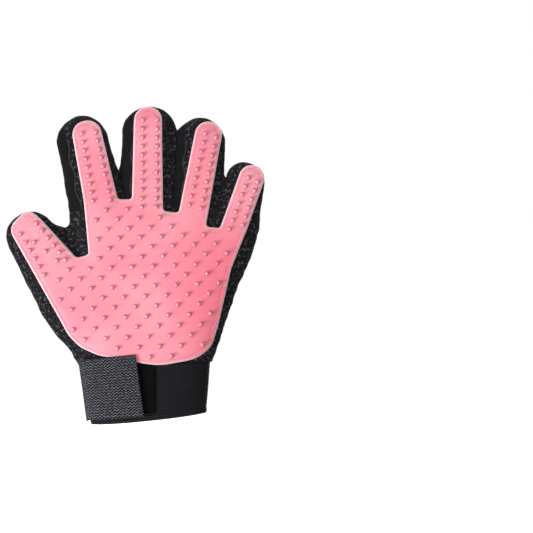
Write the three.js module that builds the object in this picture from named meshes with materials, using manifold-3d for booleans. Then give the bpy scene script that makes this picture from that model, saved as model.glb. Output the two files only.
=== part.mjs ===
// A left-hand pet-grooming glove: a hollow fabric glove with a nubbed silicone pad on the palm side,
// a ribbed elastic cuff and a hook-and-loop wrist strap. Lengths are in mm, +Z runs to the fingertips,
// the pad faces -Y and the thumb points to -X.
import * as THREE from 'three';
import { mergeVertices } from 'three/addons/utils/BufferGeometryUtils.js';
import Module from 'manifold-3d';

const wasm = await Module();
wasm.setup();

const WALL = 1.8;
const GAP = 0.3;
const PAD_THICKNESS = 2.0;
const FULLNESS = 2.6;
const SEAM_FRONT = -4.0;
const SEAM_BACK = 4.0;
const NUB_RADIUS = 1.5;
const NUB_HEIGHT = 3.2;
const NUB_COLUMN = 5.75;
const NUB_PITCH = 6.75;
const HINGE_Y = -9.5;
const FLEX = 70;
const THUMB_FLEX = 55;
const BACKBEND = 10;
const CUFF_TOP = 45.4;
const HEM_HEIGHT = 5.5;

// A sleeve is a row of rings: [x, z, half width, half depth, tilt of the ring].
const SLEEVES = {
  trunk: { middle: 0, around: 32, tip: false, rings: [
    [1.15, 4.45, 43.15, 15.5, 0.103],
    [-1.85, CUFF_TOP, 49.15, 16.5, 0.03],
    [-2.1, 60, 53.9, 17, 0],
    [0.5, 80, 58.7, 17.5, 0],
    [5, 100, 61.8, 17.5, 0],
    [9, 120, 64, 17, 0],
    [12.4, 140, 66.4, 15.5, 0],
    [13.5, 152, 67.5, 14, 0],
    [8, 160, 58, 11.5, 0],
    [-2, 166, 42, 7.5, 0],
  ] },
  index: { middle: -0.5, around: 20, tip: true, rings: [
    [-32, 140, 20.8, 12.5], [-40.5, 177.2, 19.6, 12], [-48.5, 212.3, 18.6, 11]] },
  middle: { middle: -0.5, around: 20, tip: true, rings: [
    [0.5, 140, 20.5, 12.5], [0.3, 176, 18.8, 12.2], [0, 218.5, 18.9, 11.5]] },
  ring: { middle: -0.5, around: 20, tip: true, rings: [
    [36.6, 135, 17.8, 12.5], [37.2, 170, 16.8, 12], [41.3, 212.2, 16.3, 11]] },
  little: { middle: -0.5, around: 20, tip: true, rings: [
    [57.5, 118, 13, 12], [61.8, 132, 15.6, 12], [66.1, 149, 16.4, 11.4], [72.6, 181.4, 15.4, 10]] },
  thumb: { middle: -0.5, around: 20, tip: true, rings: [
    [-36.7, 68, 22, 14], [-45, 80, 26, 15], [-66, 110.5, 22, 13.4], [-87, 141, 18, 11.5]] },
  web: { middle: 0, around: 16, tip: true, rings: [
    [-50, 118, 22, 9], [-72, 140, 14, 7]] },
};

// The line between the index and middle fingers, as its x at a height.
const indexMiddle = (z) => -18.8 - 0.2252 * (z - 181.4);
// The line that each digit's root is cut along, from the index side to the little-finger side.
const KNUCKLES = [
  [-90, 166.6], [-18.8, 181.4], [-17.4, 175], [19.4, 175], [19.2, 168.2], [54, 164], [52.3, 155.7],
  [130, 134.9],
];

// Each digit: the line where it bends off the palm, and the side limits of its own lane.
const DIGITS = {
  thumb: { at: [-65.5, 112], across: [0.295, 0.9555], flex: THUMB_FLEX,
    lane: [[-130, 40], [-130, 190], [-75, 190], [-60, 158], [-54.6, 147.5], [-87.7, 40]] },
  index: { at: [-40, 177], across: [0.979, 0.2045], flex: FLEX,
    lane: [[-90, 166.6], [-90, 260], [indexMiddle(260), 260], [indexMiddle(181.4), 181.4]] },
  middle: { at: [1.5, 175], across: [1, 0], flex: FLEX,
    lane: [[indexMiddle(175), 175], [indexMiddle(260), 260], [19.6, 260], [19.6, 175]] },
  ring: { at: [37, 166], across: [0.9925, -0.1219], flex: FLEX,
    lane: [[19.2, 168.2], [30.5, 260], [65.8, 260], [54, 164]] },
  little: { at: [68, 151.5], across: [0.9659, -0.2588], flex: FLEX,
    lane: [[52.3, 155.7], [80.3, 260], [130, 260], [130, 134.9]] },
};

// Pad strips: [tip x, tip z, tip radius, base x, base z, base half width, number of nub rows].
const STRIPS = {
  index: [-44.6, 217.1, 10.5, -34.6, 167, 12, 7],
  middle: [1, 226.6, 10.3, 1, 160, 10.3, 9],
  ring: [45.4, 215.8, 9.9, 34.2, 155, 9.9, 9],
  little: [77.6, 183, 9.5, 64.7, 147, 9.5, 5],
  thumb: [-87.6, 143.6, 12.2, -58, 102, 21, 8],
};

const PALM_PAD = [
  [-54.8, 125.2], [-43.3, 127.6], [-46, 160], [-46.4, 169.1], [-11, 169.1], [12.5, 160.1], [23.9, 159],
  [44.3, 148.7], [54.8, 147.6], [75, 145.9], [67.5, 127.9], [61.5, 112], [58.5, 96.4], [55.5, 82.9],
  [51, 64.9], [45, 55.9], [38, 51.4], [25, 46.8], [10.5, 44.6], [-6, 46.9], [-39, 52.9], [-51.8, 60.4],
  [-59.3, 69.4], [-64.5, 78.4], [-74, 95.3], [-66, 112],
];

const NUB_ORIGIN = [-20.25, 139.9];
const NUB_STEP_DOWN = [-7.3, -7.5];
const NUB_STEP_RIGHT = [8.55, -6.8];
const NUB_EDGE = 5.2;

function solid(geometry) {
  geometry.deleteAttribute('normal');
  geometry.deleteAttribute('uv');
  const merged = mergeVertices(geometry, 1e-5);
  const mesh = new wasm.Mesh({
    numProp: 3,
    vertProperties: new Float32Array(merged.attributes.position.array),
    triVerts: new Uint32Array(merged.index.array),
  });
  return new wasm.Manifold(mesh);
}

function largest(piece) {
  const parts = piece.decompose();
  parts.sort((a, b) => b.volume() - a.volume());
  return parts[0];
}

// A closed skin through a list of rings, each a superellipse about its centre.
function skin(rings, around, middle) {
  const points = [];
  const faces = [];
  for (const ring of rings) {
    for (let step = 0; step < around; step += 1) {
      const angle = (2 * Math.PI * step) / around;
      const c = Math.cos(angle);
      const s = Math.sin(angle);
      const side = ring.width * Math.sign(c) * Math.abs(c) ** (2 / FULLNESS);
      const deep = ring.depth * Math.sign(s) * Math.abs(s) ** (2 / FULLNESS);
      points.push(ring.x + side * ring.across[0], middle + deep, ring.z + side * ring.across[1]);
    }
  }
  for (let row = 0; row + 1 < rings.length; row += 1) {
    for (let step = 0; step < around; step += 1) {
      const a = row * around + step;
      const b = row * around + ((step + 1) % around);
      faces.push(a, b, b + around, a, b + around, a + around);
    }
  }
  const last = (rings.length - 1) * around;
  for (let step = 1; step + 1 < around; step += 1) {
    faces.push(0, step + 1, step);
    faces.push(last, last + step, last + step + 1);
  }
  const geometry = new THREE.BufferGeometry();
  geometry.setAttribute('position', new THREE.Float32BufferAttribute(points, 3));
  geometry.setIndex(faces);
  return geometry;
}

function sleeveRings(name, grow) {
  const sleeve = SLEEVES[name];
  const rows = sleeve.rings;
  const first = rows[0];
  const end = rows[rows.length - 1];
  const length = Math.hypot(end[0] - first[0], end[1] - first[1]);
  const along = sleeve.tip ? [(end[0] - first[0]) / length, (end[1] - first[1]) / length] : [0, 1];
  const across = [along[1], -along[0]];
  const rings = rows.map(([x, z, width, depth, tilt = 0]) => {
    const lean = Math.hypot(1, tilt);
    const axis = sleeve.tip ? across : [1 / lean, tilt / lean];
    return { x, z, width: width + grow, depth: depth + grow, across: axis };
  });
  if (grow < 0 && !sleeve.tip) {
    rings[0].z -= 8;
  }
  if (sleeve.tip) {
    for (const t of [0.38, 0.68, 0.88, 0.975]) {
      const reach = (end[2] + grow) * t;
      rings.push({
        x: end[0] + along[0] * reach,
        z: end[1] + along[1] * reach,
        width: (end[2] + grow) * Math.sqrt(1 - t * t),
        depth: (end[3] + grow) * (1 - t ** 4) ** 0.25,
        across,
      });
    }
  }
  return rings;
}

function sleeve(name, grow) {
  return solid(skin(sleeveRings(name, grow), SLEEVES[name].around, SLEEVES[name].middle));
}

function body(grow) {
  let whole = sleeve('trunk', grow);
  for (const name of ['index', 'middle', 'ring', 'little', 'thumb', 'web']) {
    whole = whole.add(sleeve(name, grow));
  }
  return whole;
}

function prism(points, low, high) {
  const shape = new THREE.Shape(points.map(([x, z]) => new THREE.Vector2(x, z)));
  const geometry = new THREE.ExtrudeGeometry(shape, { depth: high - low, bevelEnabled: false });
  geometry.rotateX(Math.PI / 2);
  geometry.translate(0, high, 0);
  return solid(geometry);
}

function slab(low, high) {
  return prism([[-200, -60], [200, -60], [200, 320], [-200, 320]], low, high);
}

function halfTangent(degrees) {
  return Math.tan((degrees / 2) * (Math.PI / 180));
}

// The notch that lets a digit bend forward and a little backward about its hinge line.
function notch(name) {
  const { at, across, flex } = DIGITS[name];
  const front = HINGE_Y + 24;
  const back = 40;
  const open = GAP + front * halfTangent(flex + 2);
  const rear = GAP + back * halfTangent(BACKBEND + 8);
  const section = new THREE.Shape([
    new THREE.Vector2(GAP, 0), new THREE.Vector2(rear, back), new THREE.Vector2(-rear, back),
    new THREE.Vector2(-GAP, 0), new THREE.Vector2(-open, -front), new THREE.Vector2(open, -front),
  ]);
  const geometry = new THREE.ExtrudeGeometry(section, { depth: 120, bevelEnabled: false });
  geometry.translate(0, 0, -60);
  const up = new THREE.Vector3(-across[1], 0, across[0]);
  const side = new THREE.Vector3(across[0], 0, across[1]);
  const deep = new THREE.Vector3(0, 1, 0);
  const turn = new THREE.Matrix4().makeBasis(up, deep, side.negate());
  geometry.applyMatrix4(turn);
  geometry.translate(at[0], HINGE_Y, at[1]);
  return solid(geometry);
}

// The lane of a digit, pulled in from its neighbours by a clearance.
function lane(name, clearance) {
  const { at, across } = DIGITS[name];
  const outline = DIGITS[name].lane;
  const shape = prism(outline, -60, 60);
  if (clearance === 0) {
    return shape;
  }
  const left = shape.translate([clearance, 0, 0]);
  const right = shape.translate([-clearance, 0, 0]);
  return shape.intersect(left).intersect(right);
}

function arc(cx, cz, radius, from, to, steps) {
  const points = [];
  for (let i = 0; i <= steps; i += 1) {
    const angle = from + ((to - from) * i) / steps;
    points.push([cx + radius * Math.cos(angle), cz + radius * Math.sin(angle)]);
  }
  return points;
}

function stripOutline(name) {
  const [tx, tz, radius, bx, bz, base] = STRIPS[name];
  const heading = Math.atan2(tz - bz, tx - bx);
  const across = [Math.sin(heading), -Math.cos(heading)];
  const points = arc(tx, tz, radius, heading - Math.PI / 2, heading + Math.PI / 2, 8);
  points.push([bx - across[0] * base, bz - across[1] * base]);
  points.push([bx + across[0] * base, bz + across[1] * base]);
  return points;
}

function padOutline() {
  let outline = prism(PALM_PAD, -60, -5);
  for (const name of Object.keys(STRIPS)) {
    outline = outline.add(prism(stripOutline(name), -60, -5));
  }
  return outline;
}

// The front height of one sleeve above a point, or null when the point is beside it.
function sleeveFront(name, x, z, grow) {
  const rings = sleeveRings(name, grow);
  const first = rings[0];
  const along = [-first.across[1], first.across[0]];
  const place = (ring) => (ring.x - first.x) * along[0] + (ring.z - first.z) * along[1];
  const s = (x - first.x) * along[0] + (z - first.z) * along[1];
  for (let i = 0; i + 1 < rings.length; i += 1) {
    const low = place(rings[i]);
    const high = place(rings[i + 1]);
    if (s >= low && s <= high) {
      const t = (s - low) / (high - low);
      const mix = (a, b) => a + (b - a) * t;
      const cx = mix(rings[i].x, rings[i + 1].x);
      const cz = mix(rings[i].z, rings[i + 1].z);
      const side = (x - cx) * first.across[0] + (z - cz) * first.across[1];
      const ratio = Math.abs(side) / mix(rings[i].width, rings[i + 1].width);
      if (ratio < 1) {
        const depth = mix(rings[i].depth, rings[i + 1].depth);
        return SLEEVES[name].middle - depth * (1 - ratio ** FULLNESS) ** (1 / FULLNESS);
      }
    }
  }
  return null;
}

function front(x, z, grow) {
  const heights = Object.keys(SLEEVES).map((name) => sleeveFront(name, x, z, grow));
  return Math.min(...heights.filter((y) => y !== null));
}

function clearOfHinges(x, z) {
  return Object.values(DIGITS).every(({ at, across }) => {
    const away = (x - at[0]) * -across[1] + (z - at[1]) * across[0];
    const side = (x - at[0]) * across[0] + (z - at[1]) * across[1];
    return Math.abs(away) > 5.6 || Math.abs(side) > 24;
  });
}

function edgeDistance(x, z, outline) {
  let inside = false;
  let nearest = Infinity;
  for (let i = 0; i < outline.length; i += 1) {
    const [ax, az] = outline[i];
    const [bx, bz] = outline[(i + 1) % outline.length];
    if (az > z !== bz > z && x < ax + ((bx - ax) * (z - az)) / (bz - az)) {
      inside = !inside;
    }
    const length = (bx - ax) ** 2 + (bz - az) ** 2;
    const t = Math.min(1, Math.max(0, ((x - ax) * (bx - ax) + (z - az) * (bz - az)) / length));
    nearest = Math.min(nearest, Math.hypot(x - ax - t * (bx - ax), z - az - t * (bz - az)));
  }
  return inside ? nearest : -nearest;
}

function palmNubs() {
  const places = [];
  for (let i = -14; i <= 14; i += 1) {
    for (let j = -14; j <= 14; j += 1) {
      const x = NUB_ORIGIN[0] + i * NUB_STEP_DOWN[0] + j * NUB_STEP_RIGHT[0];
      const z = NUB_ORIGIN[1] + i * NUB_STEP_DOWN[1] + j * NUB_STEP_RIGHT[1];
      const ceiling = 161 - 0.38 * Math.max(0, x);
      const beside = (x + 65.5) * -0.9555 + (z - 112) * 0.295;
      const inside = edgeDistance(x, z, PALM_PAD) > NUB_EDGE;
      if (inside && z < ceiling && beside < -5.6 && clearOfHinges(x, z)) {
        places.push([x, z]);
      }
    }
  }
  return places;
}

function stripNubs(name) {
  const [tx, tz, , bx, bz, , rows] = STRIPS[name];
  const length = Math.hypot(tx - bx, tz - bz);
  const along = [(bx - tx) / length, (bz - tz) / length];
  const places = [];
  for (let row = 0; row < rows; row += 1) {
    for (const side of [-NUB_COLUMN, NUB_COLUMN]) {
      const reach = row * NUB_PITCH - 1;
      const x = tx + along[0] * reach + along[1] * side;
      const z = tz + along[1] * reach - along[0] * side;
      if (clearOfHinges(x, z)) {
        places.push([x, z]);
      }
    }
  }
  return places;
}

function nub(x, z) {
  const geometry = new THREE.ConeGeometry(NUB_RADIUS, NUB_HEIGHT + 1, 4);
  geometry.rotateX(-Math.PI / 2);
  geometry.translate(x, front(x, z, GAP + PAD_THICKNESS) - NUB_HEIGHT / 2 + 0.5, z);
  return solid(geometry);
}

function withNubs(pad, places) {
  let whole = pad;
  for (const [x, z] of places) {
    whole = whole.add(nub(x, z));
  }
  return largest(whole);
}

const material = {
  silicone: new THREE.MeshStandardMaterial({ color: 0xf7909c, roughness: 0.45 }),
  knit: new THREE.MeshStandardMaterial({ color: 0x17171a, roughness: 0.9 }),
  mesh: new THREE.MeshStandardMaterial({ color: 0x101013, roughness: 0.95 }),
  gusset: new THREE.MeshStandardMaterial({ color: 0x1e1e22, roughness: 0.9 }),
  elastic: new THREE.MeshStandardMaterial({ color: 0x1b1b20, roughness: 0.85 }),
  webbing: new THREE.MeshStandardMaterial({ color: 0x2a2b33, roughness: 0.8 }),
  loop: new THREE.MeshStandardMaterial({ color: 0x0c0c0e, roughness: 1.0 }),
};

const glove = new THREE.Group();
glove.name = 'grooming_glove';

function place(name, piece, kind) {
  const result = piece.getMesh();
  const geometry = new THREE.BufferGeometry();
  geometry.setAttribute('position', new THREE.Float32BufferAttribute(result.vertProperties, 3));
  geometry.setIndex(Array.from(result.triVerts));
  geometry.computeVertexNormals();
  const mesh = new THREE.Mesh(geometry, material[kind].clone());
  mesh.name = name;
  glove.add(mesh);
}

const outer = body(0);
const shell = outer.subtract(body(-WALL));
const padShell = body(GAP + PAD_THICKNESS).subtract(body(GAP)).intersect(padOutline());
const frontSlab = slab(-60, SEAM_FRONT - GAP / 2);
const backSlab = slab(SEAM_BACK + GAP / 2, 60);
const sideSlab = slab(SEAM_FRONT + GAP / 2, SEAM_BACK - GAP / 2);

function buildDigit(name) {
  const room = lane(name, name === 'thumb' ? 0 : 0.5).subtract(notch(name));
  const own = shell.intersect(room);
  place(`${name}_front_fabric`, largest(own.intersect(frontSlab)), 'knit');
  place(`${name}_back_mesh`, largest(own.intersect(backSlab)), 'mesh');
  const rows = SLEEVES[name].rings;
  const first = rows[0];
  const end = rows[rows.length - 1];
  const far = 3;
  const tip = [end[0] + (end[0] - first[0]) * far, end[1] + (end[1] - first[1]) * far];
  const low = [first[0] - (end[0] - first[0]), first[1] - (end[1] - first[1])];
  const half = GAP / 2;
  // Both halves reach well past the digit sideways and past both seams in depth.
  const wide = 400;
  const deep = 9;
  const leftEdge = [[low[0] - half, low[1]], [tip[0] - half, tip[1]]];
  const rightEdge = [[tip[0] + half, tip[1]], [low[0] + half, low[1]]];
  const left = prism([...leftEdge, [-wide, tip[1]], [-wide, low[1]]], -deep, deep);
  const right = prism([...rightEdge, [wide, low[1]], [wide, tip[1]]], -deep, deep);
  const sides = own.intersect(sideSlab);
  place(`${name}_left_gusset`, largest(sides.intersect(left)), 'gusset');
  place(`${name}_right_gusset`, largest(sides.intersect(right)), 'gusset');
  const pad = largest(padShell.intersect(room));
  place(`${name}_pad`, withNubs(pad, stripNubs(name).filter(([x, z]) => inRoom(name, x, z))), 'silicone');
}

function inRoom(name, x, z) {
  const { at, across } = DIGITS[name];
  return (x - at[0]) * -across[1] + (z - at[1]) * across[0] > 5.6;
}

function palmRoom() {
  let room = prism([[-200, CUFF_TOP - 5.55], [200, CUFF_TOP + 6.45], [200, 320], [-200, 320]], -60, 60);
  room = room.subtract(prism([...KNUCKLES, [130, 260], [-90, 260]], -60, 60)).subtract(lane('thumb', 0));
  for (const name of Object.keys(DIGITS)) {
    room = room.subtract(notch(name).intersect(laneColumn(name)));
  }
  return room;
}

// The lane carried below the hinge line, so that a notch only cuts its own digit's root.
function laneColumn(name) {
  const columns = {
    thumb: [[-130, 40], [-130, 190], [-75, 190], [-60, 158], [-54.6, 147.5], [-44, 147.5], [-70, 40]],
    index: [[-90, 150], [-90, 195], [-22, 195], [-13, 150]],
    middle: [[-11.6, 150], [-22, 195], [21, 195], [17.4, 150]],
    ring: [[17.4, 150], [20.8, 195], [66, 195], [50, 145]],
    little: [[48.3, 140], [62, 195], [130, 195], [130, 110]],
  };
  return prism(columns[name], -60, 60);
}

function buildPalm() {
  const room = palmRoom();
  const own = shell.intersect(room);
  place('palm_front_fabric', largest(own.intersect(frontSlab)), 'knit');
  place('palm_back_mesh', largest(own.intersect(backSlab)), 'mesh');
  const sides = own.intersect(sideSlab);
  const areas = {
    heel_gusset: [[-120, 40], [-20, 40], [-20, 110], [-120, 110]],
    index_base_gusset: [[-90, 130], [-45, 130], [-45, 190], [-90, 190]],
    index_middle_web: [[-40, 120], [-5, 120], [-5, 190], [-40, 190]],
    outer_side_gusset: [[30, 40], [120, 40], [120, 190], [74, 190], [66, 120], [30, 100]],
  };
  for (const [name, area] of Object.entries(areas)) {
    place(name, largest(sides.intersect(prism(area, -9, 9))), 'gusset');
  }
  const pad = largest(padShell.intersect(room));
  place('palm_pad', withNubs(pad, palmNubs()), 'silicone');
}

// A band between two tilted levels of the wrist.
function wristBand(fromLow, toLow, growOut, growIn) {
  const low = [[-80, fromLow[0]], [80, fromLow[1]]];
  const high = [[80, toLow[1]], [-80, toLow[0]]];
  const band = prism([low[0], low[1], high[0], high[1]], -60, 60);
  return sleeve('trunk', growOut).subtract(sleeve('trunk', growIn)).intersect(band);
}

function buildCuff() {
  const top = [CUFF_TOP - 2.35 - 0.15, CUFF_TOP + 2.4 - 0.15];
  const hemTop = [-3.9 + HEM_HEIGHT, 12.55 + HEM_HEIGHT];
  const elastic = wristBand([hemTop[0] + GAP, hemTop[1] + GAP], top, 0, -WALL);
  place('cuff_elastic', largest(elastic), 'elastic');
  const hem = wristBand([-20, -20], hemTop, 0.4, -WALL - 0.4);
  place('cuff_hem', largest(hem), 'elastic');
}

function buildStrap() {
  const patch = prism([[-42.6, 8.6], [6.2, 12.6], [6.2, 43.5], [-46.2, 42.2]], -60, -4);
  const layer = (inside, outside, area) => {
    const skinned = sleeve('trunk', outside).subtract(sleeve('trunk', inside));
    return largest(skinned.intersect(area));
  };
  place('loop_patch', layer(GAP, GAP + 1.2, patch), 'loop');
  const hook = prism([[-24, 11], [-5, 13], [-8.6, 43.2], [-28, 42.6]], -60, -4);
  place('strap_hook_patch', layer(1.8, 2.6, hook), 'loop');
  const web = prism([[-42.9, 6], [-1.7, 9.6], [-8, 52.7], [-47.6, 48.8]], -60, -5.5);
  place('strap_webbing', layer(2.9, 4.3, web), 'webbing');
  const tape = prism([[-70, 2], [-43.5, 5.9], [-48.3, 49.2], [-75, 48.2]], -60, -1.5);
  place('strap_seam_tape', layer(0.8, 2.6, tape), 'webbing');
}

buildPalm();
for (const name of Object.keys(DIGITS)) {
  buildDigit(name);
}
buildCuff();
buildStrap();

export default glove;
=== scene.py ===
import bpy
import bmesh
import math
import numpy as np
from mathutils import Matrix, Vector, geometry


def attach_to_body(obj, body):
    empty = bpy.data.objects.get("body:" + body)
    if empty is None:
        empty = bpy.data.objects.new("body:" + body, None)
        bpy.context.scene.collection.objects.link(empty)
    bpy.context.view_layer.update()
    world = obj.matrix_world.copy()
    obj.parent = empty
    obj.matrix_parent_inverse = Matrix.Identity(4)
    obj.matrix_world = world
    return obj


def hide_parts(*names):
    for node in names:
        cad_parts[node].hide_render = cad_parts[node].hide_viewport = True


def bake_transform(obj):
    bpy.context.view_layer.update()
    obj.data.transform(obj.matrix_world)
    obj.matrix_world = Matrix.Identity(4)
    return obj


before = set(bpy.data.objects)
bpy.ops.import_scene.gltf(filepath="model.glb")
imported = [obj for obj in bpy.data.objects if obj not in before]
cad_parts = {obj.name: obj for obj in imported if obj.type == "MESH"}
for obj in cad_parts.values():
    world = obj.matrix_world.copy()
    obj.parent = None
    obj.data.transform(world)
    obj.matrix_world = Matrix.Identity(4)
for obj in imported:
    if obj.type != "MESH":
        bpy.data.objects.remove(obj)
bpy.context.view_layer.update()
MM = 0.001
SENSOR_WIDTH = 36.0
CAMERA_DISTANCE = 2.2
VIEW_WIDTH = 0.3985
WORLD_LIGHT = 0.36
FLOOR_HEIGHT = -0.09
FLOOR_REACH = 4.0
# Name, place, target, size in metres and power in watts.
LIGHTS = [
    ("key", (-0.77, -0.62, -0.27), (0, 0, 0.14), 0.5, 13),
    ("fill", (0.8, -1.6, 0.8), (0, 0, 0.14), 1.0, 9.5),
    ("top", (0.0, 0.4, 1.9), (0, 0, 0.1), 1.5, 14),
    ("rear", (0.6, 1.6, 0.5), (0, 0, 0.12), 0.9, 20),
]

# ---------------------------------------------------------------- camera, light and floor


def make_camera():
    data = bpy.data.cameras.new("camera")
    data.sensor_width = SENSOR_WIDTH
    data.lens = SENSOR_WIDTH * CAMERA_DISTANCE / VIEW_WIDTH
    data.clip_end = 50.0
    camera = bpy.data.objects.new("camera", data)
    bpy.context.collection.objects.link(camera)
    camera.location = (0.0896, -CAMERA_DISTANCE - 0.012, 0.1185)
    camera.rotation_euler = (math.pi / 2, 0.0, 0.0)
    bpy.context.scene.camera = camera


def area_light(name, place, target, size, power):
    data = bpy.data.lights.new(name, "AREA")
    data.shape = "DISK"
    data.size = size
    data.energy = power
    light = bpy.data.objects.new(name, data)
    bpy.context.collection.objects.link(light)
    light.location = place
    aim = Vector(target) - Vector(place)
    light.rotation_euler = aim.to_track_quat("-Z", "Y").to_euler()
    light.visible_camera = False


def make_world():
    """White behind the object as the camera sees it, and a dimmer white as its light."""
    world = bpy.data.worlds.new("studio")
    bpy.context.scene.world = world
    world.use_nodes = True
    tree = world.node_tree
    back = tree.nodes["Background"]
    seen = tree.nodes.new("ShaderNodeBackground")
    for node, strength in ((back, WORLD_LIGHT), (seen, 1.0)):
        node.inputs["Color"].default_value = (1.0, 1.0, 1.0, 1.0)
        node.inputs["Strength"].default_value = strength
    path = tree.nodes.new("ShaderNodeLightPath")
    both = tree.nodes.new("ShaderNodeMixShader")
    tree.links.new(path.outputs["Is Camera Ray"], both.inputs["Fac"])
    tree.links.new(back.outputs[0], both.inputs[1])
    tree.links.new(seen.outputs[0], both.inputs[2])
    tree.links.new(both.outputs[0], tree.nodes["World Output"].inputs["Surface"])
    bpy.context.scene.view_settings.view_transform = "Standard"


def make_floor():
    mesh = bpy.data.meshes.new("floor")
    size = FLOOR_REACH
    low = FLOOR_HEIGHT
    corners = [(-size, -size, low), (size, -size, low), (size, size, low), (-size, size, low)]
    mesh.from_pydata(corners, [], [(0, 1, 2, 3)])
    floor = bpy.data.objects.new("floor", mesh)
    bpy.context.collection.objects.link(floor)
    material = bpy.data.materials.new("floor_paper")
    material.use_nodes = True
    shader = material.node_tree.nodes["Principled BSDF"]
    shader.inputs["Base Color"].default_value = (0.93, 0.93, 0.93, 1)
    shader.inputs["Roughness"].default_value = 0.9
    shader.inputs["Emission Color"].default_value = (1, 1, 1, 1)
    shader.inputs["Emission Strength"].default_value = 0.8
    mesh.materials.append(material)
    floor.visible_diffuse = False
    floor.visible_glossy = False
    floor.visible_shadow = False


make_camera()
make_world()
make_floor()
for light in LIGHTS:
    area_light(*light)

# ---------------------------------------------------------------- the shape, in millimetres

# Rings of the hand: height, centre x, half width and half depth.
TRUNK = [
    (44, -1.9, 49.2, 16.5), (60, -1.5, 54.4, 17), (80, 0.9, 59.1, 17.5), (100, 5, 61.8, 17.5),
    (120, 9, 64, 17), (140, 12.0, 65.6, 15.5), (152, 12.6, 66, 14), (160, 9, 60, 11.5),
    (166, 0, 45, 8), (171, -4, 25, 4),
]
# Rings of each sleeve: centre x and z, half width and half depth.
SLEEVES = {
    "index": [(-32, 140, 20.8, 12.5), (-40.2, 177.2, 20.3, 12), (-48.3, 212.3, 18.8, 11)],
    "middle": [(0.5, 140, 21, 12.5), (1.1, 176, 21, 12.2), (1.8, 217.8, 20.2, 11.5)],
    "ring": [(37, 135, 18.6, 12.5), (38.5, 170, 19.0, 12), (39.7, 211.2, 18.4, 11)],
    "little": [(57.5, 118, 13, 12), (61.8, 132, 15.6, 12), (66.1, 149, 16.3, 11.4),
               (72.9, 181.4, 14.9, 10)],
    "thumb": [(-36.7, 68, 22, 14), (-45, 80, 26, 15), (-66.8, 110.5, 23.0, 13.4),
              (-87.2, 141, 18.2, 11.5)],
    "web": [(-50, 118, 22, 9), (-69, 135, 13, 6.5)],
    "crotch_a": [(-14.5, 162, 6, 7), (-19.2, 182.5, 4.5, 5.5)],
    "crotch_b": [(18.4, 162, 6, 7), (20.9, 195, 4, 5)],
    "crotch_c": [(53.4, 152, 6, 7), (57.6, 177.5, 4.5, 5.5)],
}
DIGITS = ["thumb", "index", "middle", "ring", "little"]
FINGERS = ["index", "middle", "ring", "little"]
WEBS = ["web", "crotch_a", "crotch_b", "crotch_c"]


def hermite(at, xs, ys):
    xs = np.asarray(xs, float)
    ys = np.asarray(ys, float)
    slope = np.gradient(ys, xs)
    at = np.clip(at, xs[0], xs[-1])
    i = np.clip(np.searchsorted(xs, at) - 1, 0, len(xs) - 2)
    h = xs[i + 1] - xs[i]
    t = (at - xs[i]) / h
    a = 2 * t ** 3 - 3 * t ** 2 + 1
    b = t ** 3 - 2 * t ** 2 + t
    c = -2 * t ** 3 + 3 * t ** 2
    d = t ** 3 - t ** 2
    return a * ys[i] + b * h * slope[i] + c * ys[i + 1] + d * h * slope[i + 1]


def axes(name):
    """A sleeve's first point, direction and length, and each ring's place along and across them."""
    rows = SLEEVES[name]
    x0, z0 = rows[0][:2]
    dx = rows[-1][0] - x0
    dz = rows[-1][1] - z0
    length = math.hypot(dx, dz)
    ux, uz = dx / length, dz / length
    stops = [(r[0] - x0) * ux + (r[1] - z0) * uz for r in rows]
    drift = [(r[0] - x0) * uz - (r[1] - z0) * ux for r in rows]
    return (x0, z0), (ux, uz), length, stops, drift


def on_sleeve(name, along, across):
    """The points x, z at distances along and across a sleeve's axis."""
    (x0, z0), (ux, uz), _, _, _ = axes(name)
    return np.stack([x0 + ux * along + uz * across, z0 + uz * along - ux * across], axis=1)


def section(name, x, z):
    """Distance along, distance across and the half sizes of a sleeve beside a point."""
    (x0, z0), (ux, uz), _, stops, drift = axes(name)
    along = (x - x0) * ux + (z - z0) * uz
    across = (x - x0) * uz - (z - z0) * ux - hermite(along, stops, drift)
    width = hermite(along, stops, [r[2] for r in SLEEVES[name]])
    depth = hermite(along, stops, [r[3] for r in SLEEVES[name]])
    return along, across, width, depth


def shell_value(ratio, y, depth, front, back):
    """Distance from a rounded tube, given the share of its half width and the power of its two faces."""
    power = np.where(y < 0, front, back)
    ratio = np.maximum(ratio, 1e-6)
    level = np.maximum(np.abs(y) / depth, 1e-6)
    return ((ratio ** power + level ** power) ** (1 / power) - 1) * depth


def sleeve_value(name, x, y, z):
    along, across, width, depth = section(name, x, z)
    length = axes(name)[2]
    over = np.maximum(along - length, 0) + np.maximum(-along, 0)
    ratio = np.sqrt((across / width) ** 2 + (over / width) ** 2)
    return shell_value(ratio, y + 0.5, depth, 3.0, 2.4)


def trunk_value(x, y, z):
    stops, centre, width, depth = zip(*TRUNK)
    centre = hermite(z, stops, centre)
    width = hermite(z, stops, width)
    depth = hermite(z, stops, depth)
    ease = np.clip((z - 46) / 34, 0, 1)
    value = shell_value(np.abs(x - centre) / width, y, depth, 2.6 + 0.4 * ease, 2.6 - 0.2 * ease)
    return np.maximum(value, (z - 171) * 1.2)


def blend_min(a, b, radius):
    h = np.maximum(radius - np.abs(a - b), 0) / radius
    return np.minimum(a, b) - h * h * radius * 0.25


# Lines between neighbouring fingers: x on the line at a height, and where the crotch is.
GAPS = [
    ("index", "middle", lambda z: -18.8 - 0.2252 * (z - 181.4), 170.0),
    ("middle", "ring", lambda z: 19.39 + 0.0765 * (z - 175), 163.0),
    ("ring", "little", lambda z: 53.5 + 0.276 * (z - 162.6), 154.0),
]


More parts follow.
